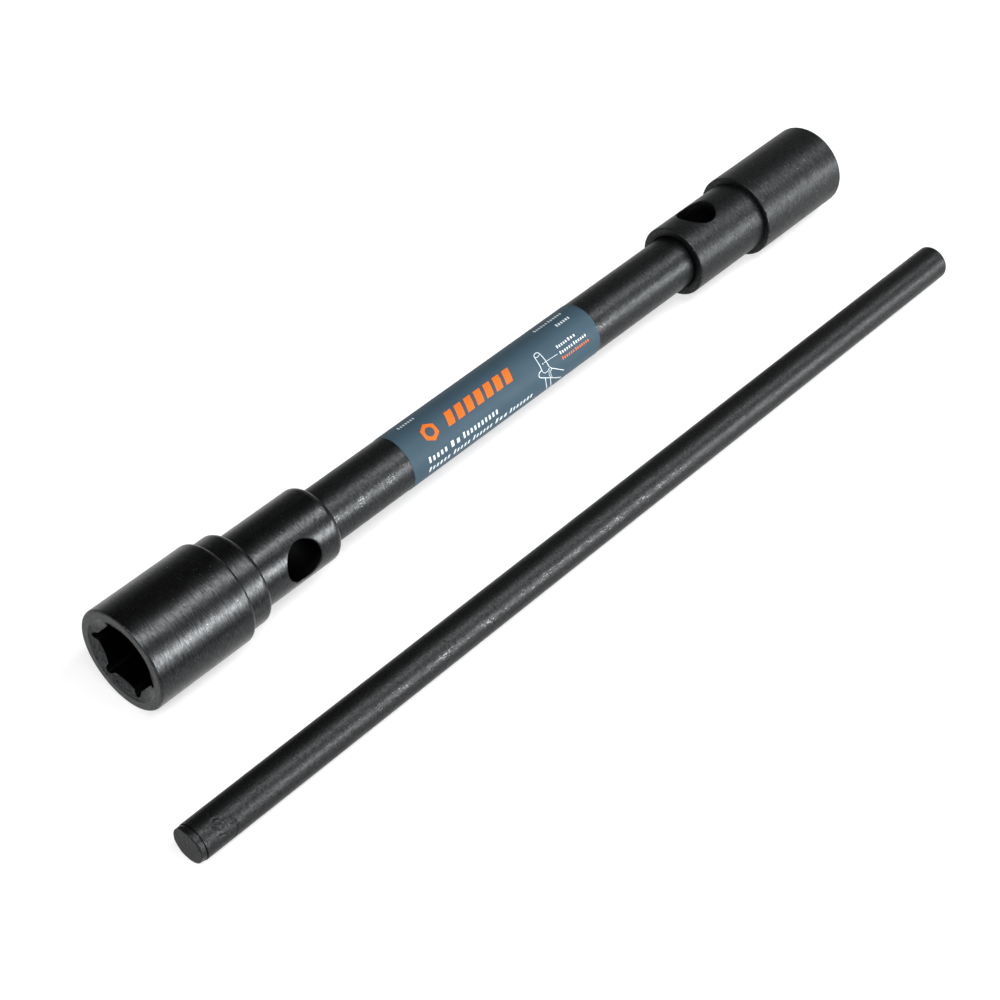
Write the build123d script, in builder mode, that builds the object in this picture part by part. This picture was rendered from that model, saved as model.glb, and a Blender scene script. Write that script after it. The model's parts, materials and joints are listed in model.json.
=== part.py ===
from build123d import *
from math import atan2, cos, degrees, radians, sin, sqrt
import os

# ---------------------------------------------------------------- driving dimensions, mm
# Stations are distances along the wrench's axis from the mouth of the large socket.

# large head: socket, step collar and cross-drilled hub in one forging
LARGE_SOCKET_D = 54.0
LARGE_SOCKET_END = 58.7
COLLAR_D = 48.4
COLLAR_END = 72.1
HUB_D = 40.1
LARGE_HUB_END = 122.5
LARGE_HEX_AF = 33.0
LARGE_HEX_DEPTH = 42.0
LARGE_MOUTH_D = 44.6
LARGE_HOLE_STATION = 97.2

# small head: hub and socket in one forging, at the other end of the shank
SMALL_HUB_START = 395.0
SMALL_SOCKET_START = 450.0
SMALL_SOCKET_D = 46.8
WRENCH_LENGTH = 516.8
SMALL_HEX_AF = 30.0
SMALL_HEX_DEPTH = 42.0
SMALL_MOUTH_D = 39.2
SMALL_HOLE_STATION = 418.1

# sockets and cross holes
HEX_TURN = 8.0              # angle of a hex corner above the horizontal
CORNER_RELIEF_R = 2.4
CORNER_RELIEF_INSET = 1.0   # from the hex corner in towards the axis
CORNER_BLEND = 1.6
LEAD_IN_SLOPE = 2.15        # radius lost per millimetre of depth
CROSS_HOLE_D = 21.4
CROSS_HOLE_CHAMFER = 0.6
LARGE_HOLE_ANGLE = 168.0    # angle of the hole's axis, from +Y up over the wrench
SMALL_HOLE_ANGLE = LARGE_HOLE_ANGLE - 90.0
RIM_ROUND = 1.2
SHOULDER_ROUND = 2.6
SMALL_SHOULDER_ROUND = 0.6
COLLAR_ROUND = 3.4
HUB_ROUND = 4.5
SMALL_HUB_ROUND = 0.8

# shank, pressed into a blind seat in each hub, short of the cross hole
SHANK_D = 29.8
SHANK_CHAMFER = 1.0
SEAT_DEPTH = 10.5
SEAT_CHAMFER = 0.6

# printed film wrapped round the middle of the shank
LABEL_START = 175.9
LABEL_END = 316.3
LABEL_FILM = 0.3

# loose tommy bar
BAR_D = 19.0
BAR_LENGTH = 549.0
BAR_YAW = -0.8              # how far the bar lies out of line with the wrench
BAR_OFFSET = 88.0           # from the wrench's axis, level with the large mouth
BAR_OVERHANG = 42.9         # how far the bar's near end lies beyond the large mouth
BAR_TIP_D = 18.4            # the sheared tip, a little under the bar's own size
BAR_TIP_LENGTH = 3.2
BAR_TIP_ROUND = 0.7
BAR_GROOVE_WIDTH = 0.6
BAR_GROOVE_DEPTH = 0.7
BAR_FAR_ROUND = 1.8

# ---------------------------------------------------------------- where things lie
# The wrench rests on its two sockets, so its axis falls a little towards the small one.
large_contact = LARGE_SOCKET_END - SHOULDER_ROUND
small_contact = WRENCH_LENGTH - RIM_ROUND
socket_step = (LARGE_SOCKET_D - SMALL_SOCKET_D) / 2
tilt = atan2(socket_step, small_contact - large_contact)
mouth_height = LARGE_SOCKET_D / 2 * cos(tilt) + large_contact * sin(tilt)

# The origin is under the middle of the whole object's box.
yaw = radians(BAR_YAW)
box_low_x = -BAR_OVERHANG + BAR_D / 2 * sin(yaw)
box_high_x = WRENCH_LENGTH * cos(tilt)
box_low_y = -BAR_OFFSET + (BAR_LENGTH - BAR_OVERHANG) * sin(yaw) - BAR_D / 2 * cos(yaw)
box_high_y = LARGE_SOCKET_D / 2
mouth_x = -(box_low_x + box_high_x) / 2
mouth_y = -(box_low_y + box_high_y) / 2

mouth = Vector(mouth_x, mouth_y, mouth_height)
wrench_direction = Vector(cos(tilt), 0, -sin(tilt))
wrench_axis = Axis(mouth, wrench_direction)
wrench_profile = Plane(mouth, x_dir=wrench_direction, z_dir=(0, -1, 0))

bar_direction = Vector(cos(yaw), sin(yaw), 0)
bar_start = Vector(mouth_x, mouth_y - BAR_OFFSET, BAR_D / 2) - bar_direction * BAR_OVERHANG
bar_axis = Axis(bar_start, bar_direction)
bar_profile = Plane(bar_start, x_dir=bar_direction, z_dir=(sin(yaw), -cos(yaw), 0))


def station_plane(station):
    """The plane square to the wrench's axis, with its local x towards +Y."""
    return Plane(mouth + wrench_direction * station, x_dir=(0, 1, 0), z_dir=wrench_direction)


def cross_hole_plane(station, angle):
    """The plane through the wrench's axis that is square to a cross hole."""
    across = station_plane(station)
    hole_direction = across.x_dir * cos(radians(angle)) + across.y_dir * sin(radians(angle))
    return Plane(across.origin, x_dir=wrench_direction, z_dir=hole_direction)


def turned_section(plane, points, rounds=None):
    """Draw half of a turned section as (station, radius) points, with the listed corners rounded."""
    with BuildSketch(plane) as section:
        with BuildLine():
            Polyline(*points, close=True)
        make_face()
        for corner, radius in (rounds or {}).items():
            nearest = section.vertices().sort_by_distance(corner)[0]
            fillet(nearest, radius)
    return section.sketch


def cut_hex_socket(mouth_station, inward, across_flats, depth, mouth_d):
    """Cut a hex pocket with round corner reliefs and a conical lead-in."""
    corner_radius = across_flats / sqrt(3)
    with BuildSketch(station_plane(mouth_station)) as hexagon:
        RegularPolygon(across_flats / 2, 6, major_radius=False, rotation=HEX_TURN)
        with PolarLocations(corner_radius - CORNER_RELIEF_INSET, 6, start_angle=HEX_TURN):
            Circle(CORNER_RELIEF_R)
        fillet(hexagon.vertices(), CORNER_BLEND)
    extrude(hexagon.sketch, amount=depth * inward, mode=Mode.SUBTRACT)
    cone_end = mouth_station + (mouth_d - across_flats) / 2 / LEAD_IN_SLOPE * inward
    lead_in = turned_section(
        wrench_profile,
        [(mouth_station, 0), (mouth_station, mouth_d / 2), (cone_end, across_flats / 2), (cone_end, 0)],
    )
    revolve(lead_in, axis=wrench_axis, mode=Mode.SUBTRACT)


def cut_cross_hole(station, angle):
    """Drill the hole for the tommy bar right through a hub and break its edges."""
    with BuildSketch(cross_hole_plane(station, angle)) as hole:
        Circle(CROSS_HOLE_D / 2)
    extrude(hole.sketch, amount=HUB_D, both=True, mode=Mode.SUBTRACT)
    rims = edges(Select.LAST).filter_by(GeomType.LINE, reverse=True)
    chamfer(rims, CROSS_HOLE_CHAMFER)


def cut_shank_seat(face_station, inward):
    """Cut the blind seat that the end of the shank is pressed into."""
    seat_r = SHANK_D / 2
    seat_floor = face_station + SEAT_DEPTH * inward
    seat = turned_section(
        wrench_profile,
        [
            (face_station, 0),
            (face_station, seat_r + SEAT_CHAMFER),
            (face_station + SEAT_CHAMFER * inward, seat_r),
            (seat_floor, seat_r),
            (seat_floor, 0),
        ],
    )
    revolve(seat, axis=wrench_axis, mode=Mode.SUBTRACT)


# ---------------------------------------------------------------- large socket head
with BuildPart() as large_socket_head:
    large_head_section = turned_section(
        wrench_profile,
        [
            (0, 0),
            (0, LARGE_SOCKET_D / 2),
            (LARGE_SOCKET_END, LARGE_SOCKET_D / 2),
            (LARGE_SOCKET_END, COLLAR_D / 2),
            (COLLAR_END, COLLAR_D / 2),
            (COLLAR_END, HUB_D / 2),
            (LARGE_HUB_END, HUB_D / 2),
            (LARGE_HUB_END, 0),
        ],
        {
            (0, LARGE_SOCKET_D / 2): RIM_ROUND,
            (LARGE_SOCKET_END, LARGE_SOCKET_D / 2): SHOULDER_ROUND,
            (COLLAR_END, COLLAR_D / 2): COLLAR_ROUND,
            (LARGE_HUB_END, HUB_D / 2): HUB_ROUND,
        },
    )
    revolve(large_head_section, axis=wrench_axis)
    cut_hex_socket(0, 1, LARGE_HEX_AF, LARGE_HEX_DEPTH, LARGE_MOUTH_D)
    cut_shank_seat(LARGE_HUB_END, -1)
    cut_cross_hole(LARGE_HOLE_STATION, LARGE_HOLE_ANGLE)

# ---------------------------------------------------------------- small socket head
with BuildPart() as small_socket_head:
    small_head_section = turned_section(
        wrench_profile,
        [
            (SMALL_HUB_START, 0),
            (SMALL_HUB_START, HUB_D / 2),
            (SMALL_SOCKET_START, HUB_D / 2),
            (SMALL_SOCKET_START, SMALL_SOCKET_D / 2),
            (WRENCH_LENGTH, SMALL_SOCKET_D / 2),
            (WRENCH_LENGTH, 0),
        ],
        {
            (SMALL_HUB_START, HUB_D / 2): SMALL_HUB_ROUND,
            (SMALL_SOCKET_START, SMALL_SOCKET_D / 2): SMALL_SHOULDER_ROUND,
            (WRENCH_LENGTH, SMALL_SOCKET_D / 2): RIM_ROUND,
        },
    )
    revolve(small_head_section, axis=wrench_axis)
    cut_hex_socket(WRENCH_LENGTH, -1, SMALL_HEX_AF, SMALL_HEX_DEPTH, SMALL_MOUTH_D)
    cut_shank_seat(SMALL_HUB_START, 1)
    cut_cross_hole(SMALL_HOLE_STATION, SMALL_HOLE_ANGLE)

# ---------------------------------------------------------------- shank
shank_start = LARGE_HUB_END - SEAT_DEPTH
shank_end = SMALL_HUB_START + SEAT_DEPTH
with BuildPart() as shank:
    with BuildSketch(station_plane(shank_start)):
        Circle(SHANK_D / 2)
    extrude(amount=shank_end - shank_start)
    chamfer(edges().filter_by(GeomType.CIRCLE), SHANK_CHAMFER)

# ---------------------------------------------------------------- wrap label
with BuildPart() as wrap_label:
    with BuildSketch(station_plane(LABEL_START)):
        Circle(SHANK_D / 2 + LABEL_FILM)
        Circle(SHANK_D / 2, mode=Mode.SUBTRACT)
    extrude(amount=LABEL_END - LABEL_START)

# ---------------------------------------------------------------- tommy bar
groove_end = BAR_TIP_LENGTH + BAR_GROOVE_WIDTH
groove_r = BAR_D / 2 - BAR_GROOVE_DEPTH
with BuildPart() as tommy_bar:
    bar_section = turned_section(
        bar_profile,
        [
            (0, 0),
            (0, BAR_TIP_D / 2),
            (BAR_TIP_LENGTH, BAR_TIP_D / 2),
            (BAR_TIP_LENGTH, groove_r),
            (groove_end, groove_r),
            (groove_end, BAR_D / 2),
            (BAR_LENGTH, BAR_D / 2),
            (BAR_LENGTH, 0),
        ],
        {
            (0, BAR_TIP_D / 2): BAR_TIP_ROUND,
            (BAR_LENGTH, BAR_D / 2): BAR_FAR_ROUND,
        },
    )
    revolve(bar_section, axis=bar_axis)

# ---------------------------------------------------------------- export
os.makedirs("parts", exist_ok=True)

large_socket_head.part.label = "large_socket_head"
export_step(large_socket_head.part, "parts/large_socket_head.step")

small_socket_head.part.label = "small_socket_head"
export_step(small_socket_head.part, "parts/small_socket_head.step")

shank.part.label = "shank"
export_step(shank.part, "parts/shank.step")

wrap_label.part.label = "wrap_label"
export_step(wrap_label.part, "parts/wrap_label.step")

tommy_bar.part.label = "tommy_bar"
export_step(tommy_bar.part, "parts/tommy_bar.step")

print(f"tilt {degrees(tilt):.4f} degrees")
for name, place in (("mouth", mouth), ("bar start", bar_start)):
    print(f"{name} at {place.X:.4f}, {place.Y:.4f}, {place.Z:.4f}")
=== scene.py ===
import json
from math import asin, atan2, cos, degrees, pi, radians, sin, sqrt, tan

import bmesh
import bpy
from mathutils import Euler, Matrix, Vector
from mathutils.noise import noise


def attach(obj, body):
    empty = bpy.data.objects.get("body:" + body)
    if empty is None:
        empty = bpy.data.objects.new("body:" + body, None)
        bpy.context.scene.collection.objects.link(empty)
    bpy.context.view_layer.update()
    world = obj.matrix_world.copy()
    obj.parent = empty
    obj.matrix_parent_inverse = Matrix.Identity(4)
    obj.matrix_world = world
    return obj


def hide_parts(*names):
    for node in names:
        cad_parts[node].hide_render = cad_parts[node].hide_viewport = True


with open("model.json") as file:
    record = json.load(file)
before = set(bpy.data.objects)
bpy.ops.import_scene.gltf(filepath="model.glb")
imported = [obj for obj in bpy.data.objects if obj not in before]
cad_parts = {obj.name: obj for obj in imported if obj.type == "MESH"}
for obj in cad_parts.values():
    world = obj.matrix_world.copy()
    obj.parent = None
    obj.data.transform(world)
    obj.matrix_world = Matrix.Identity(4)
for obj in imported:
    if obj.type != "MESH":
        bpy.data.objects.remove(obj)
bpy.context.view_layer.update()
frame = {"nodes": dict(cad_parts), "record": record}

# ---------------------------------------------------------------- places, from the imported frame
# Local coordinates are millimetres: x is the station along a tool's own axis, and angles go
# round that axis from +Y, up over the top at 90 degrees, and down towards -Y.
MM = 0.001
mounts = {mount["name"]: mount for mount in frame["record"]["mounts"]}
mouth = Vector(mounts["large_hex"]["pos_m"])
wrench_direction = -Vector(mounts["large_hex"]["axis"])
wrench_turn = Euler((0, asin(-wrench_direction.z), 0))

bar_mount = mounts["bar_shaft"]
bar_direction = Vector(bar_mount["axis"])
bar_turn = Euler((0, 0, atan2(bar_direction.y, bar_direction.x)))
bar_middle = Vector(bar_mount["pos_m"])
bar_reach = [
    (vertex.co - bar_middle).dot(bar_direction) for vertex in frame["nodes"]["tommy_bar"].data.vertices
]
bar_start = bar_middle + bar_direction * min(bar_reach)
bar_radius = bar_mount["dims"]["r_mm"]
bar_length = (max(bar_reach) - min(bar_reach)) / MM
shaft_start = -min(bar_reach) / MM - bar_mount["dims"]["length_mm"] / 2
shaft_end = shaft_start + bar_mount["dims"]["length_mm"]


def local_frame(origin, turn):
    """The matrix from a tool's own millimetres to the row frame."""
    return Matrix.Translation(origin) @ turn.to_matrix().to_4x4() @ Matrix.Scale(MM, 4)


wrench_frame = local_frame(mouth, wrench_turn)
bar_frame = local_frame(bar_start, bar_turn)


def stations(node):
    """The first and last station of a CAD node on the wrench."""
    inverse = wrench_frame.inverted()
    along = [(inverse @ vertex.co).x for vertex in frame["nodes"][node].data.vertices]
    return min(along), max(along)


def outer_radius(node):
    """The largest radius of a CAD node about the wrench's axis."""
    inverse = wrench_frame.inverted()
    places = [inverse @ vertex.co for vertex in frame["nodes"][node].data.vertices]
    return max(sqrt(place.y ** 2 + place.z ** 2) for place in places)


def around(tool, station, angle, radius):
    """The row-frame point at a station, an angle in radians and a radius."""
    return tool @ Vector((station, radius * cos(angle), radius * sin(angle)))


# ---------------------------------------------------------------- shader helpers
PATCH_SCALE = 0.12          # how much coarser the patches of flecks are than the flecks
FLECK_EDGE = 0.05           # how softly a fleck ends


class Finish:
    """One procedural material, built node by node round its Principled shader."""

    def __init__(self, name):
        self.material = bpy.data.materials.new(name)
        self.material.use_nodes = True
        self.nodes = self.material.node_tree.nodes
        self.links = self.material.node_tree.links
        self.shader = self.nodes["Principled BSDF"]

    def add(self, kind, inputs=None, **settings):
        """Add a node; an input is a constant or the socket that feeds it."""
        node = self.nodes.new(kind)
        for key, value in settings.items():
            setattr(node, key, value)
        for key, value in (inputs or {}).items():
            self.feed(node.inputs[key], value)
        return node

    def feed(self, socket, value):
        if isinstance(value, bpy.types.NodeSocket):
            self.links.new(value, socket)
        else:
            socket.default_value = value

    def math(self, operation, *values):
        node = self.add("ShaderNodeMath", dict(enumerate(values)), operation=operation)
        return node.outputs[0]

    def vector(self, operation, *values):
        node = self.add("ShaderNodeVectorMath", dict(enumerate(values)), operation=operation)
        return node.outputs["Value" if operation in ("LENGTH", "DOT_PRODUCT") else "Vector"]

    def spread(self, value, low, high, to_low=0.0, to_high=1.0):
        """Map a value from one range to another, without overshoot."""
        node = self.add("ShaderNodeMapRange", dict(enumerate((value, low, high, to_low, to_high))))
        return node.outputs["Result"]

    def noise(self, coordinates, scale, detail=2.0, roughness=0.5):
        node = self.add(
            "ShaderNodeTexNoise",
            {"Vector": coordinates, "Scale": scale, "Detail": detail, "Roughness": roughness},
        )
        return node.outputs["Fac"]

    def mix(self, share, first, second):
        node = self.add(
            "ShaderNodeMix",
            {"Factor": share, 6: first, 7: second},
            data_type="RGBA",
        )
        return node.outputs[2]

    def flecks(self, coordinates, scale, rarity, wear=0.0):
        """Small ragged specks: 1 inside, 0 outside, in loose patches and denser where worn."""
        grains = self.math("ADD", self.noise(coordinates, scale, 3.0, 0.6), wear)
        patches = self.spread(self.noise(coordinates, scale * PATCH_SCALE, 1.0), 0.42, 0.62)
        return self.math("MULTIPLY", self.spread(grains, rarity, rarity + FLECK_EDGE), patches)

    def bump(self, height, distance):
        node = self.add("ShaderNodeBump", {"Height": height, "Strength": 1.0, "Distance": distance})
        self.feed(self.shader.inputs["Normal"], node.outputs["Normal"])

    def tool_coordinates(self, origin, turn):
        """Millimetres in a tool's own frame, and the parts of them that turned marks follow."""
        place = self.add("ShaderNodeTexCoord").outputs["Object"]
        local = self.add(
            "ShaderNodeMapping",
            {"Vector": place, "Location": origin, "Rotation": turn, "Scale": (MM, MM, MM)},
            vector_type="TEXTURE",
        ).outputs["Vector"]
        across = self.vector("MULTIPLY", local, (0, 1, 1))
        radius = self.vector("LENGTH", across)
        ring = self.vector("NORMALIZE", across)
        station = self.add("ShaderNodeSeparateXYZ", {"Vector": local}).outputs["X"]
        return local, station, radius, ring

    def ring_coordinates(self, station, radius, ring, fine, long):
        """Coordinates in which noise becomes turning lines: fine across them, long round them."""
        across = self.math("MULTIPLY", self.math("ADD", station, radius), fine)
        line = self.add("ShaderNodeCombineXYZ", {"X": across}).outputs["Vector"]
        turned = self.vector("MULTIPLY", ring, (long, long, long))
        return self.vector("ADD", line, turned)


# ---------------------------------------------------------------- materials
def shares(colour, share):
    """A grey or colour scaled by a share, with full alpha."""
    return (*(share * channel for channel in colour), 1)


# The greys here are fitted to the photo under this scene's lights, not measured from steel.
EDGE_TINT = (0.86, 0.86, 0.86, 1)
NICK_STEEL = (0.20, 0.205, 0.205, 1)
FLECK_STEEL = (0.17, 0.175, 0.175, 1)
BORE_EDGE = 18.0            # radius under which a head's surface is inside a bore, mm
BORE_BLEND = 2.5            # and how far it takes to reach the bore's full darkness
BORE_SHADE_SHARE = 0.3            # painted shade: a bore's share of the outside's reflectance, darkened to stand in for the shade inside it
CUT_SHARE = 0.62            # a sheared end's share
WORN_ANGLE = 149.0          # the side where the round bars have rubbed, degrees
WORN_COSINES = (0.972, 0.998)   # how far from that side the wear begins, and is at its full
WORN_RISE = (60, 130)       # stations over which the wear begins, mm
WORN_FALL = (370, 300)      # and over which it ends


def turned_steel(name, origin, turn, gloss, reflectance):
    """Black oxide over turning lines, with a few bright nicks, and painted shade darkening the bores.
    """
    finish = Finish(name)
    local, station, radius, ring = finish.tool_coordinates(origin, turn)
    turning = finish.ring_coordinates(station, radius, ring, fine=2.4, long=7.0)
    lines = finish.noise(turning, scale=1.0, detail=1.0)
    grain = finish.noise(local, scale=1.7, detail=3.0, roughness=0.6)
    clouds = finish.noise(local, scale=0.10, detail=3.0)
    marks = finish.math("MULTIPLY_ADD", grain, 0.45, finish.math("MULTIPLY", lines, 0.55))
    depth = finish.spread(marks, 0.38, 0.62)
    nicks = finish.flecks(finish.vector("MULTIPLY", local, (1, 0.5, 1)), scale=1.1, rarity=0.655)
    # painted shade: surfaces inside a bore are darkened to stand in for the shade that falls there
    bore_shade = finish.spread(radius, BORE_EDGE, BORE_EDGE - BORE_BLEND)
    rough = finish.spread(depth, 0, 1, gloss + 0.03, gloss - 0.03)
    rough = finish.math("MULTIPLY_ADD", clouds, 0.12, finish.math("SUBTRACT", rough, 0.06))
    oxide = finish.mix(depth, shares(reflectance, 0.5), shares(reflectance, 1.5))
    colour = finish.mix(nicks, oxide, NICK_STEEL)
    colour = finish.mix(bore_shade, colour, shares(reflectance, BORE_SHADE_SHARE))
    finish.feed(finish.shader.inputs["Base Color"], colour)
    finish.feed(finish.shader.inputs["Roughness"], rough)
    finish.shader.inputs["Metallic"].default_value = 1.0
    finish.shader.inputs["Specular Tint"].default_value = EDGE_TINT
    finish.bump(marks, distance=0.00004)
    return finish.material


def rolled_steel(name, origin, turn, gloss, reflectance, grain):
    """Black oxide over a rolled or drawn bar: blotchy scale, cross marks, and flecks where worn."""
    finish = Finish(name)
    local, station, radius, ring = finish.tool_coordinates(origin, turn)
    stretched = finish.vector("MULTIPLY", local, (0.7, 1, 1))
    blotches = finish.noise(stretched, scale=grain, detail=4.0, roughness=0.65)
    drawing = finish.ring_coordinates(station, radius, ring, fine=2.4, long=6.0)
    hairs = finish.noise(drawing, scale=1.0, detail=1.0)
    clouds = finish.noise(local, scale=0.08, detail=3.0)
    marks = finish.math("MULTIPLY_ADD", hairs, 0.5, finish.math("MULTIPLY", blotches, 0.5))
    depth = finish.spread(marks, 0.38, 0.62)
    worn_side = (0, cos(radians(WORN_ANGLE)), sin(radians(WORN_ANGLE)))
    towards_worn = finish.vector("DOT_PRODUCT", ring, worn_side)
    worn = finish.spread(towards_worn, *WORN_COSINES, 0.0, 0.115)
    rise, fall = finish.spread(station, *WORN_RISE), finish.spread(station, *WORN_FALL)
    worn = finish.math("MULTIPLY", worn, finish.math("MULTIPLY", rise, fall))
    drawn_out = finish.vector("MULTIPLY", local, (0.45, 1, 1))
    flecks = finish.flecks(drawn_out, scale=2.0, rarity=0.68, wear=worn)
    cut = finish.spread(station, 0.7, 0.3)
    rough = finish.spread(depth, 0, 1, gloss + 0.04, gloss - 0.04)
    rough = finish.math("MULTIPLY_ADD", clouds, 0.14, finish.math("SUBTRACT", rough, 0.07))
    oxide = finish.mix(depth, shares(reflectance, 0.58), shares(reflectance, 1.42))
    colour = finish.mix(flecks, oxide, FLECK_STEEL)
    colour = finish.mix(cut, colour, shares(reflectance, CUT_SHARE))
    finish.feed(finish.shader.inputs["Base Color"], colour)
    finish.feed(finish.shader.inputs["Roughness"], rough)
    finish.shader.inputs["Metallic"].default_value = 1.0
    finish.shader.inputs["Specular Tint"].default_value = EDGE_TINT
    finish.bump(marks, distance=0.00010)
    return finish.material


def printed_film(name, colour, shade, gloss):
    """Satin plastic film or ink that hardly reflects, with a faint stretch grain."""
    finish = Finish(name)
    local = finish.tool_coordinates(mouth, wrench_turn)[0]
    stretched = finish.vector("MULTIPLY", local, (0.25, 1, 1))
    grain = finish.noise(stretched, scale=1.4, detail=3.0)
    clouds = finish.noise(local, scale=0.05, detail=2.0)
    tone = finish.math("MULTIPLY_ADD", grain, 0.35, finish.math("MULTIPLY", clouds, 0.65))
    finish.feed(
        finish.shader.inputs["Base Color"],
        finish.mix(finish.spread(tone, 0.35, 0.65), shares(shade, 1), shares(colour, 1)),
    )
    rough = finish.spread(grain, 0.3, 0.7, gloss - 0.04, gloss + 0.04)
    finish.feed(finish.shader.inputs["Roughness"], rough)
    finish.shader.inputs["Specular IOR Level"].default_value = 0.12
    finish.bump(grain, distance=0.00002)
    return finish.material


head_steel = turned_steel("large_head_oxide", mouth, wrench_turn, 0.31, (0.036, 0.0375, 0.0385))
small_head_steel = turned_steel("small_head_oxide", mouth, wrench_turn, 0.44, (0.030, 0.0315, 0.0325))
shank_steel = rolled_steel("shank_oxide", mouth, wrench_turn, 0.41, (0.031, 0.0325, 0.0335), 0.9)
bar_steel = rolled_steel("bar_oxide", bar_start, bar_turn, 0.45, (0.026, 0.027, 0.0275), 1.1)
film_finish = printed_film("film", (0.035, 0.064, 0.087), (0.032, 0.058, 0.079), 0.55)
orange_ink = printed_film("orange_ink", (0.60, 0.115, 0.010), (0.56, 0.105, 0.009), 0.55)
white_ink = printed_film("white_ink", (0.54, 0.60, 0.63), (0.50, 0.56, 0.59), 0.55)


def finish_node(node, material):
    """Give a CAD node that keeps its shape its own finish."""
    for holder in frame["nodes"][node].material_slots:
        holder.material = material


finish_node("large_socket_head", head_steel)
finish_node("small_socket_head", small_head_steel)


# ---------------------------------------------------------------- meshes
def piece_from(name, mesh, material, body):
    """Place a finished mesh in the scene, riding on its CAD body."""
    mesh.materials.append(material)
    piece = bpy.data.objects.new(name, mesh)
    bpy.context.scene.collection.objects.link(piece)
    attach(piece, body)
    return piece


def tube_of_rings(rings):
    """Vertices and faces of a closed solid of revolution, from rings of points."""
    count = len(rings[0])
    vertices = [point for ring in rings for point in ring]
    faces = []
    for ring in range(len(rings) - 1):
        for step in range(count):
            after = (step + 1) % count
            low, high = ring * count, (ring + 1) * count
            faces.append((low + step, low + after, high + after, high + step))
    faces.append(tuple(reversed(range(count))))
    faces.append(tuple(range(len(vertices) - count, len(vertices))))
    return vertices, faces


def polygon(x, y, radius, count, start=0.0):
    """The corners of a regular polygon; many of them make a circle."""
    turns = [start + 2 * pi * step / count for step in range(count)]
    return [(x + radius * cos(turn), y + radius * sin(turn)) for turn in turns]


def solid_mesh(name, vertices, faces, smooth_under=40):
    """A mesh with its normals outward and its sharp edges kept."""
    mesh = bpy.data.meshes.new(name)
    mesh.from_pydata(vertices, [], faces)
    work = bmesh.new()
    work.from_mesh(mesh)
    bmesh.ops.recalc_face_normals(work, faces=work.faces)
    work.to_mesh(mesh)
    work.free()
    mesh.shade_smooth()
    mesh.set_sharp_from_angle(angle=radians(smooth_under))
    return mesh


# ---------------------------------------------------------------- shank
SHANK_STEP = 0.9            # mm between rings
SHANK_SIDES = 160
SHANK_CHAMFER = 1.0
ROLL_DEPTH = 0.05           # low spots left by rolling, mm
GRAIN_DEPTH = 0.012


def rolled_radius(nominal, station, angle):
    """The shank's radius with the shallow unevenness of rolled bar."""
    across, up = cos(angle), sin(angle)
    waves = noise(Vector((station / 11, 1.7 * across, 1.7 * up)))
    grain = noise(Vector((station / 2.3, 7.5 * across, 7.5 * up + 9)))
    return nominal - ROLL_DEPTH * (0.5 + 0.5 * waves) - GRAIN_DEPTH * (0.5 + 0.5 * grain)


def rolled_shank():
    start, end = stations("shank")
    nominal = outer_radius("shank")
    count = round((end - start - 2 * SHANK_CHAMFER) / SHANK_STEP)
    step = (end - start - 2 * SHANK_CHAMFER) / count
    profile = [(start, nominal - SHANK_CHAMFER)]
    profile += [(start + SHANK_CHAMFER + step * index, None) for index in range(count + 1)]
    profile += [(end, nominal - SHANK_CHAMFER)]
    angles = [2 * pi * side / SHANK_SIDES for side in range(SHANK_SIDES)]
    rings = []
    for station, fixed in profile:
        rings.append([
            around(wrench_frame, station, angle, fixed or rolled_radius(nominal, station, angle))
            for angle in angles
        ])
    mesh = solid_mesh("rolled_shank", *tube_of_rings(rings))
    piece = piece_from("rolled_shank", mesh, shank_steel, "wrench")
    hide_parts("shank")


rolled_shank()

# ---------------------------------------------------------------- tommy bar
BAR_SIDES = 200
BAR_STEP = 1.5              # mm between rings along most of the bar
STAMP_STEP = 0.3            # and where the marks are stamped
STAMP_ZONE = 27.0
TIP_RADIUS = 9.2
TIP_ROUND = 0.7
TIP_LEAN = 0.35             # how far the sheared end is out of square
TEAR_DEPTH = 0.28           # unevenness of the sheared face
GROOVE_WIDTH = 0.6
GROOVE_RADIUS = 8.8
BURR_ANGLE = 62.0           # where shearing left a lip on the tip
BURR_HALF_WIDTH = 20.0      # degrees
BURR_HEIGHT = 0.8
WORN_CORNER_ANGLE = 205.0   # where the tip's corner is worn off
WORN_CORNER_HALF_WIDTH = 32.0
WORN_CORNER_DEPTH = 0.5
LEAN_ANGLE = 200.0          # the side where the sheared end is shortest
RAGGED_DEPTH = 0.05
STAMP_DEPTH = 0.34
STAMP_REACH = 0.55          # half the width of a stamped stroke


def even_steps(low, high, step):
    count = max(round((high - low) / step), 1)
    return [low + (high - low) * index / count for index in range(count + 1)]


def polygon_strokes(x, y, radius, count, start=0.0):
    """The sides of a regular polygon, as strokes."""
    corners = polygon(x, y, radius, count, start)
    return list(zip(corners, corners[1:] + corners[:1]))


def stamp_strokes():
    """Plain workshop marks near the bar's end: a hexagon, a ring and short bars, and no characters."""
    def place(station, angle):
        return station, radians(angle) * bar_radius

    strokes = polygon_strokes(*place(13.6, 123), 2.7, 6, 0.35)
    strokes += polygon_strokes(*place(19.9, 146), 1.1, 10)
    for start, end in (
        ((12.2, 118), (15.0, 128)),
        ((14.2, 80), (13.6, 94)),
        ((11.6, 154), (14.2, 160)),
        ((21.2, 162), (19.2, 192)),
    ):
        strokes.append((place(*start), place(*end)))
    return [(Vector(start), Vector(end)) for start, end in strokes]


def distance_to(point, stroke):
    start, end = stroke
    along = end - start
    share = min(max((point - start).dot(along) / along.length_squared, 0.0), 1.0)
    return (point - start - along * share).length


def eased(value):
    """A smooth step from 0 to 1."""
    value = min(max(value, 0.0), 1.0)
    return value * value * (3 - 2 * value)


def stamped(strokes, station, angle):
    """How far the stamped marks lower the surface."""
    point = Vector((station, angle * bar_radius))
    near = min(distance_to(point, stroke) for stroke in strokes)
    return STAMP_DEPTH * eased(1.2 - near / STAMP_REACH)


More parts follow.
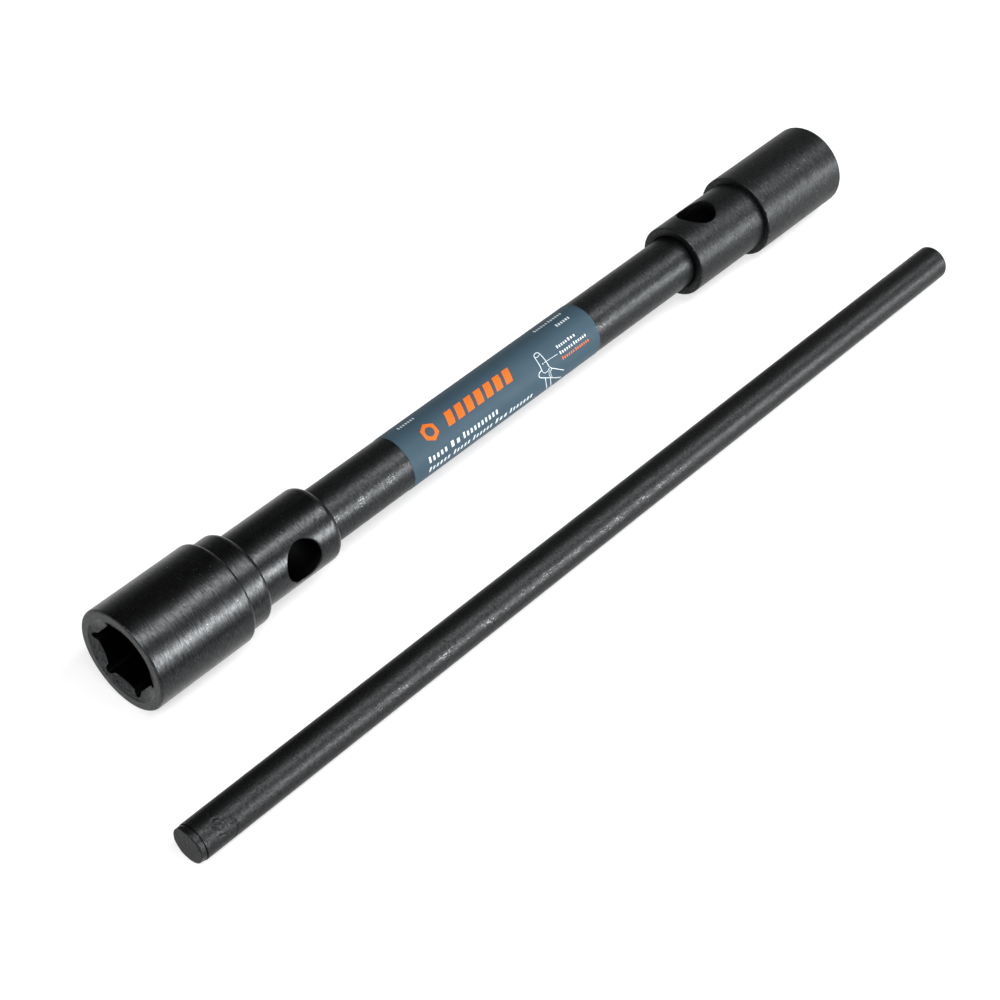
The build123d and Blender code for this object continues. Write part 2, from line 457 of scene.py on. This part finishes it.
def bar_relief(strokes, station, angle):
    """The unevenness of the bar's black scale, and the stamped marks near its end."""
    across, up = cos(angle), sin(angle)
    waves = noise(Vector((station / 9, 2.0 * across, 2.0 * up + 5)))
    grain = noise(Vector((station / 1.9, 6.5 * across, 6.5 * up + 3)))
    relief = 0.03 * (0.5 + 0.5 * waves) + 0.015 * (0.5 + 0.5 * grain)
    if station < STAMP_ZONE:
        relief += stamped(strokes, station, angle)
    return relief


def bar_outline():
    """The bar's rings as (station, radius, kind), from its tip to its far end."""
    tip_end = shaft_start - GROOVE_WIDTH
    far_round = bar_length - shaft_end
    quarter = [radians(18 * step) for step in range(6)]
    outline = [(0.0, radius, "tip") for radius in even_steps(0.5, TIP_RADIUS - TIP_ROUND, 0.7)[:-1]]
    outline += [
        (TIP_ROUND * (1 - sin(turn)), TIP_RADIUS - TIP_ROUND * (1 - cos(turn)), "tip")
        for turn in reversed(quarter)
    ]
    outline += [(station, TIP_RADIUS, "tip") for station in even_steps(TIP_ROUND, tip_end, 0.4)[1:]]
    outline += [(tip_end, GROOVE_RADIUS, "groove"), (shaft_start, GROOVE_RADIUS, "groove")]
    shaft = even_steps(shaft_start, STAMP_ZONE, STAMP_STEP)
    shaft += even_steps(STAMP_ZONE, shaft_end, BAR_STEP)[1:]
    outline += [(station, bar_radius, "shaft") for station in shaft]
    outline += [
        (shaft_end + far_round * sin(turn), bar_radius - far_round * (1 - cos(turn)), "end")
        for turn in quarter[1:]
    ]
    return outline


def tip_place(station, radius, angle):
    """The sheared tip: out of square, with a lip at one side and a worn corner below."""
    share = 1 - station / (shaft_start - GROOVE_WIDTH)
    outside = (radius / TIP_RADIUS) ** 6
    across, up = cos(angle), sin(angle)
    from_burr = abs(degrees(angle) - BURR_ANGLE) / BURR_HALF_WIDTH
    burr = BURR_HEIGHT * eased(1 - from_burr) * eased(1.6 * share)
    from_worn = abs(degrees(angle) - WORN_CORNER_ANGLE) / WORN_CORNER_HALF_WIDTH
    worn = WORN_CORNER_DEPTH * eased(1 - from_worn) * eased(1.3 * share)
    lean = TIP_LEAN * (1 + radius / TIP_RADIUS * cos(angle - radians(LEAN_ANGLE))) / 2
    torn = TEAR_DEPTH * (0.5 + 0.5 * noise(Vector((radius * across, radius * up, station)) * 0.8))
    ragged = RAGGED_DEPTH * noise(Vector((2 * across, 2 * up, station)))
    return station + (lean + torn) * share, radius + outside * (burr - worn + ragged)


def stamped_bar():
    strokes = stamp_strokes()
    angles = [2 * pi * side / BAR_SIDES for side in range(BAR_SIDES)]
    rings = []
    for station, radius, kind in bar_outline():
        ring = []
        for angle in angles:
            place = (station, radius)
            if kind == "tip":
                place = tip_place(station, radius, angle)
            elif kind == "shaft":
                place = (station, radius - bar_relief(strokes, station, angle))
            ring.append(around(bar_frame, place[0], angle, place[1]))
        rings.append(ring)
    mesh = solid_mesh("stamped_bar", *tube_of_rings(rings))
    piece = piece_from("stamped_bar", mesh, bar_steel, "tommy_bar")
    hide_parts("tommy_bar")


stamped_bar()

# ---------------------------------------------------------------- film and its print
FILM_THICKNESS = 0.1
FILM_LIFT = 0.02            # between shank and film
LAP_START = 283.0           # angle where the film starts, under the shank, in degrees
LAP = 22.0                  # degrees of overlap where the film closes
LAP_CLIMB_START = 352.0     # degrees round where the film starts to climb over its own start
LAP_CLIMB = 9.0
LAP_GAP = 0.015
FILM_MARGIN = 0.2           # kept from each end for the film's uneven edge
FILM_TURNS, FILM_ROWS = 190, 90
INK = 0.04                  # thickness of the ink
INK_STRIP = 0.7             # width of the flat strips that the ink is bent from
film_start, film_end = stations("wrap_label")
film_inside = outer_radius("shank") + FILM_LIFT
film_outside = film_inside + FILM_THICKNESS


def wrapped_film():
    """The film: one sheet wound once round the shank, with its end lapped over its start."""
    turns, rows = FILM_TURNS, FILM_ROWS
    layers = []
    for depth in (0.0, FILM_THICKNESS):
        for row in range(rows + 1):
            share = row / rows
            for turn in range(turns + 1):
                wound = (360 + LAP) * turn / turns
                angle = radians(LAP_START + wound)
                over = eased((wound - LAP_CLIMB_START) / LAP_CLIMB)
                lift = over * (FILM_THICKNESS + LAP_GAP)
                edge = 0.10 * sin(3 * angle + 1) + 0.06 * sin(7 * angle)
                station = film_start + FILM_MARGIN + (film_end - film_start - 2 * FILM_MARGIN) * share
                station += edge * (1 if share > 0.5 else -1) * abs(2 * share - 1)
                layers.append(around(wrench_frame, station, angle, film_inside + depth + lift))
    width = turns + 1
    sheet = (rows + 1) * width
    faces = []
    for row in range(rows):
        for turn in range(turns):
            corner = row * width + turn
            square = (corner, corner + 1, corner + width + 1, corner + width)
            faces.append(square)
            faces.append(tuple(sheet + index for index in reversed(square)))
    rim = list(range(turns))
    rim += [row * width + turns for row in range(rows)]
    rim += [rows * width + turns - turn for turn in range(turns)]
    rim += [(rows - row) * width for row in range(rows)]
    for here, after in zip(rim, rim[1:] + rim[:1]):
        faces.append((here, sheet + here, sheet + after, after))
    mesh = solid_mesh("film_wrap", layers, faces, 50)
    piece = piece_from("film_wrap", mesh, film_finish, "wrench")
    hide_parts("wrap_label")


wrapped_film()


def arc(angle):
    """Where an angle falls across the film laid flat, in millimetres."""
    return radians(angle) * film_outside


def add_shape(sheet, outline, holes=()):
    """Add a filled flat shape, with any holes, to a sheet of artwork."""
    edges = []
    for loop in (outline, *holes):
        corners = [sheet.verts.new((x, y, 0)) for x, y in loop]
        edges += [sheet.edges.new(pair) for pair in zip(corners, corners[1:] + corners[:1])]
    bmesh.ops.triangle_fill(sheet, edges=edges, use_beauty=True, use_dissolve=False)


def stroke(points, width):
    """The outline of a line of even width through a few points."""
    left, right = [], []
    places = [Vector(point) for point in points]
    for index, place in enumerate(places):
        before = (place - places[index - 1]).normalized() if index else None
        after = (places[index + 1] - place).normalized() if index + 1 < len(places) else None
        along = ((before or after) + (after or before)).normalized()
        normal = Vector((-along.y, along.x))
        reach = width / 2 / max(normal.dot(Vector((-(after or before).y, (after or before).x))), 0.4)
        left.append(tuple(place + normal * reach))
        right.append(tuple(place - normal * reach))
    return left + right[::-1]


def wrap_artwork(name, sheet, material):
    """Cut flat artwork into narrow strips and lay it round the film as a thin solid of ink."""
    low = min(vertex.co.y for vertex in sheet.verts)
    high = max(vertex.co.y for vertex in sheet.verts)
    for step in range(1, int((high - low) / INK_STRIP) + 1):
        everything = sheet.verts[:] + sheet.edges[:] + sheet.faces[:]
        height = low + INK_STRIP * step
        bmesh.ops.bisect_plane(sheet, geom=everything, plane_co=(0, height, 0), plane_no=(0, 1, 0))
    # every shape faces up before it is thickened, so that none ends inside out
    sheet.normal_update()
    face_down = [face for face in sheet.faces if face.normal.z < 0]
    bmesh.ops.reverse_faces(sheet, faces=face_down)
    bmesh.ops.solidify(sheet, geom=sheet.faces[:], thickness=INK)
    for vertex in sheet.verts:
        x, y, z = vertex.co
        vertex.co = around(wrench_frame, x, y / film_outside, film_outside + abs(z))
    if sheet.calc_volume(signed=True) < 0:
        bmesh.ops.reverse_faces(sheet, faces=sheet.faces)
    mesh = bpy.data.meshes.new(name)
    sheet.to_mesh(mesh)
    sheet.free()
    mesh.shade_smooth()
    mesh.set_sharp_from_angle(angle=radians(40))
    piece_from(name, mesh, material, "wrench")


# The print is a plain layout of blocks and a line drawing: it carries no words.
HEADING_MIDDLE = 118.5      # degrees round the film
HEADING_HEIGHT = 7.2
HEADING_START, HEADING_END = 206.0, 255.5
BLOCKS = 7
BLOCK_SHARE = 0.66
BLOCK_SLANT = 2.6
NUT_STATION, NUT_ACROSS = 195.2, 9.0
LETTER_SHARE = 0.48         # of a block's pitch


def greeked(sheet, start, end, base, height, pitch, slant=0.0):
    """A row of small plain blocks in place of a word, from station start to end, on a line at base."""
    count = max(round((end - start) / pitch), 1)
    step = (end - start) / (count - 1 + LETTER_SHARE)
    low = arc(base)
    for block in range(count):
        tall = height * (1.3 if block == 0 else 1)
        x0 = start + step * block
        x1 = x0 + step * LETTER_SHARE
        lean = slant * tall
        add_shape(sheet, [(x0, low), (x1, low), (x1 + lean, low - tall), (x0 + lean, low - tall)])


def orange_print():
    sheet = bmesh.new()
    middle = arc(HEADING_MIDDLE)
    pitch = (HEADING_END - HEADING_START) / BLOCKS
    half = HEADING_HEIGHT / 2
    for block in range(BLOCKS):
        x0 = HEADING_START + pitch * block
        x1 = x0 + pitch * BLOCK_SHARE
        add_shape(sheet, [
            (x0, middle + half),
            (x1, middle + half),
            (x1 + BLOCK_SLANT, middle - half),
            (x0 + BLOCK_SLANT, middle - half),
        ])
    nut = polygon(NUT_STATION, middle, NUT_ACROSS / sqrt(3), 6, radians(30))
    add_shape(sheet, nut, [polygon(NUT_STATION, middle, NUT_ACROSS * 0.29, 36)])
    for start, end in ((287.4, 296.4), (297.6, 307.8)):
        greeked(sheet, start, end, 158.5, 1.3, 1.5)
    wrap_artwork("orange_print", sheet, orange_ink)


def drawn(sheet, width, *places):
    """A line of the drawing through (station, angle) places."""
    add_shape(sheet, stroke([(station, arc(angle)) for station, angle in places], width))


def bar_in_hub_drawing(sheet):
    """A bar standing in a socket's hub, with the socket running off to the lower right."""
    line = 0.42
    drawn(sheet, line, (272.0, 153), (272.2, 124), (272.5, 118.5), (273.3, 115.8), (274.6, 115.2),
          (275.7, 116.6), (276.2, 120), (277.3, 153))
    drawn(sheet, 0.3, (272.5, 121.5), (273.8, 124), (275.9, 121.8))
    drawn(sheet, line, (271.6, 149.4), (269.9, 151.2), (269.0, 155), (269.1, 159), (270.3, 162.8),
          (276.5, 176), (285.8, 198.5))
    drawn(sheet, line, (277.6, 154), (278.4, 158.4), (280.8, 164.2), (287.2, 182))
    drawn(sheet, 0.3, (272.2, 154.5), (273.4, 158.6), (275.4, 159), (277.2, 155))
    drawn(sheet, 0.3, (277.3, 158.6), (276.0, 163), (275.9, 169), (276.8, 175.4))
    drawn(sheet, 0.3, (278.4, 159.8), (277.2, 164), (277.1, 170), (277.9, 177.4))
    drawn(sheet, line, (272.7, 169), (273.3, 184), (275.4, 206))
    drawn(sheet, line, (276.5, 177.4), (277.1, 190), (278.9, 208))
    drawn(sheet, 0.25, (275.4, 139.9), (285.5, 141.8))
    add_shape(sheet, polygon(274.4, arc(140.4), 0.34, 12))


def white_print():
    sheet = bmesh.new()
    # two lines of description
    for start, end in ((186.9, 199.6), (202.8, 208.8), (211.6, 236.8)):
        greeked(sheet, start, end, 170.5, 2.6, 2.5)
    for start, end in ((186.2, 200.8), (203.8, 215.4), (218.0, 231.8), (234.6, 242.8), (245.4, 262.2)):
        greeked(sheet, start, end, 191.5, 2.2, 2.45, 0.25)
    # a caption beside the drawing, and codes by the film's upper edge
    for start, end, base in (
        (287.2, 294.6, 133), (295.8, 301.0, 133), (287.2, 296.6, 146), (297.8, 307.2, 146),
    ):
        greeked(sheet, start, end, base, 1.3, 1.5)
    for start, end, base in (
        (185.2, 196.2, 74.5), (286.2, 295.6, 74.5), (297.0, 306.6, 74.5), (296.8, 306.4, 97),
    ):
        greeked(sheet, start, end, base, 1.5, 1.6)
    bar_in_hub_drawing(sheet)
    wrap_artwork("white_print", sheet, white_ink)


orange_print()
white_print()

# ---------------------------------------------------------------- floor, light and camera
FLOOR_GLOW = 0.64           # the floor is a pale light table, so shadows on it stay faint
FLOOR_HALF = 12.0           # half its width, m
HORIZON_GREY = 0.9
OVERHEAD_GREY = 0.05


def plain_floor():
    mesh = bpy.data.meshes.new("floor")
    half = FLOOR_HALF
    corners = [(-half, -half, 0), (half, -half, 0), (half, half, 0), (-half, half, 0)]
    mesh.from_pydata(corners, [], [(0, 1, 2, 3)])
    floor = bpy.data.objects.new("floor", mesh)
    bpy.context.scene.collection.objects.link(floor)
    paint = bpy.data.materials.new("floor_paint")
    paint.use_nodes = True
    shader = paint.node_tree.nodes["Principled BSDF"]
    shader.inputs["Base Color"].default_value = (0.42, 0.42, 0.42, 1)
    shader.inputs["Emission Color"].default_value = (1, 1, 1, 1)
    shader.inputs["Emission Strength"].default_value = FLOOR_GLOW
    shader.inputs["Roughness"].default_value = 0.9
    shader.inputs["Specular IOR Level"].default_value = 0.1
    mesh.materials.append(paint)


def soft_box(name, centre, aim, length, height, radiance):
    """A rectangular soft light, its long side level, facing a point."""
    light = bpy.data.lights.new(name, "AREA")
    light.shape = "RECTANGLE"
    light.size = length
    light.size_y = height
    light.energy = radiance * pi * length * height
    box = bpy.data.objects.new(name, light)
    bpy.context.scene.collection.objects.link(box)
    box.location = centre
    box.rotation_euler = (Vector(aim) - Vector(centre)).to_track_quat("-Z", "Y").to_euler()


def strip_light(name, angle, distance, width, start, end, radiance):
    """A soft light along the wrench from x start to end, at an angle round it, width degrees wide."""
    turn = radians(angle)
    middle = (start + end) / 2
    across = Vector((0, cos(turn), sin(turn)))
    centre = Vector((middle, mouth.y, mouth.z)) + across * distance
    aim = Vector((middle, mouth.y, mouth.z))
    soft_box(name, centre, aim, end - start, 2 * distance * tan(radians(width / 2)), radiance)


def studio_world():
    """A dark room, pale near the horizon where the pale floor runs out, and dimmer towards +X."""
    world = bpy.data.worlds.new("studio")
    bpy.context.scene.world = world
    world.use_nodes = True
    nodes, links = world.node_tree.nodes, world.node_tree.links
    direction = nodes.new("ShaderNodeTexCoord")
    height = nodes.new("ShaderNodeSeparateXYZ")
    ramp = nodes.new("ShaderNodeValToRGB")
    falloff = nodes.new("ShaderNodeMapRange")
    links.new(direction.outputs["Generated"], height.inputs[0])
    links.new(height.outputs["Z"], ramp.inputs[0])
    links.new(ramp.outputs["Color"], nodes["Background"].inputs["Color"])
    links.new(height.outputs["X"], falloff.inputs["Value"])
    links.new(falloff.outputs["Result"], nodes["Background"].inputs["Strength"])
    falloff.inputs["From Min"].default_value = -0.1
    falloff.inputs["From Max"].default_value = 0.7
    falloff.inputs["To Min"].default_value = 1.0
    falloff.inputs["To Max"].default_value = 0.35
    ramp.color_ramp.interpolation = "EASE"
    low, high = ramp.color_ramp.elements
    low.position, low.color = 0.02, (HORIZON_GREY, HORIZON_GREY, HORIZON_GREY, 1)
    high.position, high.color = 0.62, (OVERHEAD_GREY, OVERHEAD_GREY, OVERHEAD_GREY, 1)


plain_floor()
studio_world()
strip_light("low_strip", angle=171, distance=1.5, width=13, start=0.1, end=2.1, radiance=23.5)
strip_light("high_strip", angle=116, distance=1.8, width=19, start=-1.4, end=2.4, radiance=7.8)
soft_box("far_fill", (3.0, 1.6, 1.8), (0.2, 0, 0), length=3.0, height=2.0, radiance=0.35)
soft_box("near_fill", (-2.8, -0.7, 2.3), (0, 0, 0), length=2.4, height=0.9, radiance=7.0)

# the camera fitted to the photo's outlines
CAMERA_TARGET = Vector((-0.03955, -0.0125, 0.0196))
CAMERA_DISTANCE = 1.131
CAMERA_AZIMUTH, CAMERA_ELEVATION = radians(-48.27), radians(43.57)
CAMERA_LENS, CAMERA_SENSOR = 83.97, 36.0    # mm
camera = bpy.data.objects.new("camera", bpy.data.cameras.new("camera"))
bpy.context.scene.collection.objects.link(camera)
camera.data.lens = CAMERA_LENS
camera.data.sensor_width = CAMERA_SENSOR
camera_back = Vector((
    sin(CAMERA_AZIMUTH) * cos(CAMERA_ELEVATION),
    -cos(CAMERA_AZIMUTH) * cos(CAMERA_ELEVATION),
    sin(CAMERA_ELEVATION),
))
camera.location = CAMERA_TARGET + camera_back * CAMERA_DISTANCE
camera.rotation_euler = (-camera_back).to_track_quat("-Z", "Y").to_euler()
bpy.context.scene.camera = camera
bpy.context.scene.view_settings.view_transform = "Standard"
